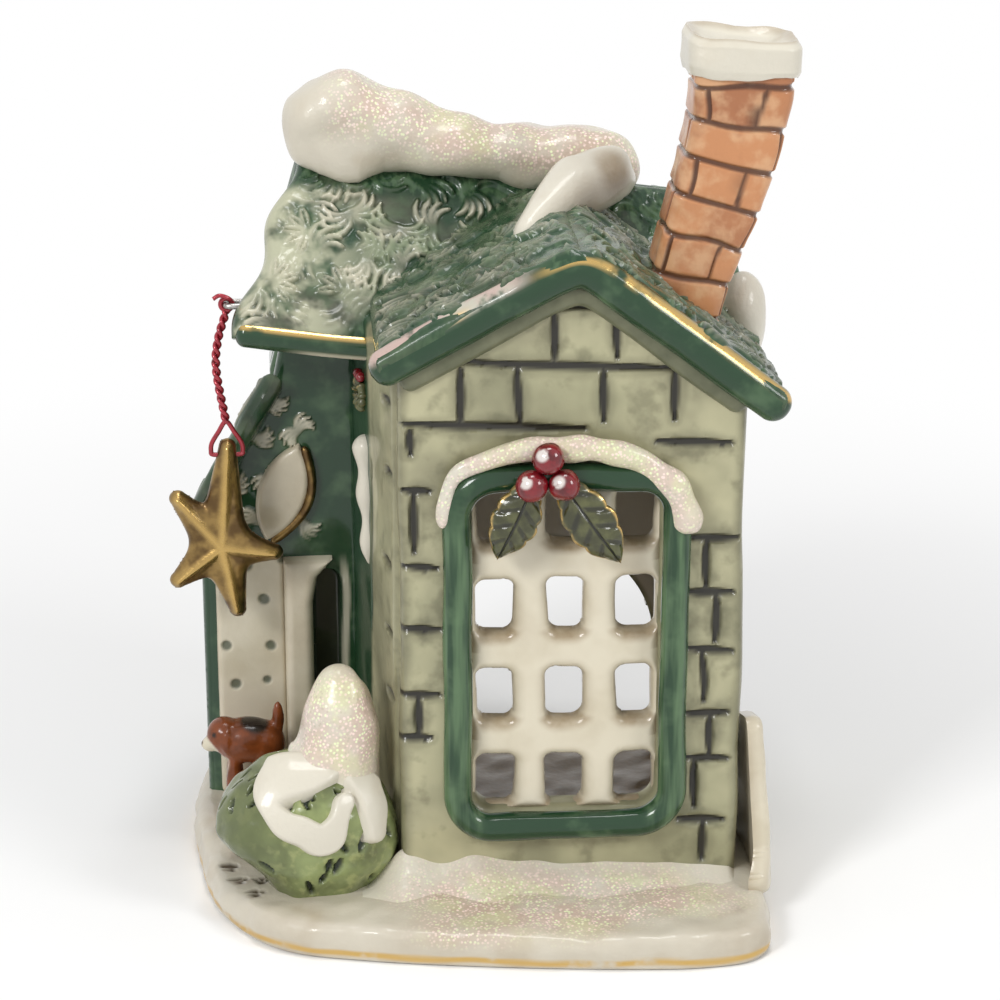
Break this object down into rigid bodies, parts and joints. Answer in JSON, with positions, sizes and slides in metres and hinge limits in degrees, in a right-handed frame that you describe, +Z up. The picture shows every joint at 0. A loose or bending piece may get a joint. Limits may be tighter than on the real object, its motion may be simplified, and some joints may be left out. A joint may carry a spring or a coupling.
{
  "type": "ceramic christmas village house",
  "caption": "Slab-built glazed ceramic christmas house with snowy gabled roofs, a lattice window, a leaning brick chimney, a rear tea-light arch and a star on a wire hanger",
  "frame": {"origin": "on the underside of the base slab, near its middle", "axes": "+Z up; the lattice window faces -Y; +X to the right of a viewer who faces the window"},
  "size_m": [0.1144, 0.1043, 0.1608],
  "materials": {
    "snow_glaze": "gloss white glaze with fine glitter",
    "sage_glaze": "gloss sage glaze over incised stone courses",
    "green_glaze": "gloss dark green glaze",
    "roof_glaze": "dark green glaze wiped off a cream leaf relief, gold line at the edges",
    "cream_glaze": "gloss cream glaze with brown staining",
    "holly_glaze": "gloss bronze green glaze",
    "red_glaze": "gloss crimson glaze",
    "brick_glaze": "gloss terracotta glaze with dark incised joints",
    "bush_glaze": "gloss leaf green glaze with dark notches",
    "puppy_glaze": "gloss red-brown glaze",
    "gold_lustre": "metallic gold lustre over glaze",
    "staple_metal": "dull grey wire",
    "red_wire": "crimson coated wire, twisted"
  },
  "bodies": {
    "house": {"base_slab": "snow_glaze", "front_snow_drift": "snow_glaze", "window_snow": "snow_glaze", "side_wall_snow": "snow_glaze", "chimney_snow": "snow_glaze", "main_ridge_snow": "snow_glaze", "wing_ridge_snow": "snow_glaze", "right_verge_snow": "snow_glaze", "bush_snow": "snow_glaze", "front_wall": "sage_glaze", "wing_left_wall": "sage_glaze", "wing_right_wall": "sage_glaze", "right_gable_wall": "sage_glaze", "back_wall": "sage_glaze", "left_gable_wall": "green_glaze", "porch_front_wall": "green_glaze", "porch_side_wall": "green_glaze", "window_frame": "green_glaze", "main_roof_front": "roof_glaze", "main_roof_back": "roof_glaze", "wing_roof_left": "roof_glaze", "wing_roof_right": "roof_glaze", "porch_roof": "roof_glaze", "window_lattice": "cream_glaze", "door_panel": "cream_glaze", "door_pier": "cream_glaze", "door_tympanum": "cream_glaze", "garden_panel": "cream_glaze", "holly_leaf_left": "holly_glaze", "holly_leaf_right": "holly_glaze", "wreath_ring": "holly_glaze", "holly_berry_left": "red_glaze", "holly_berry_right": "red_glaze", "holly_berry_top": "red_glaze", "wreath_bow": "red_glaze", "chimney": "brick_glaze", "bush": "bush_glaze", "puppy": "puppy_glaze", "tympanum_bead": "gold_lustre", "roof_staple": "staple_metal"},
    "hanger": {"hanger_wire": "red_wire"},
    "star": {"hanging_star": "gold_lustre"}
  },
  "joints": [
    {"name": "hanger_swing", "type": "hinge", "parent": "house", "child": "hanger", "pos_m": [-0.0435, 0.00794, 0.108], "axis": [0, 1, 0], "range_deg": [-12, 40]},
    {"name": "star_swing", "type": "hinge", "parent": "hanger", "child": "star", "pos_m": [-0.04419, 0.006, 0.07964], "axis": [1, 0, 0], "range_deg": [-35, 8]}
  ]
}
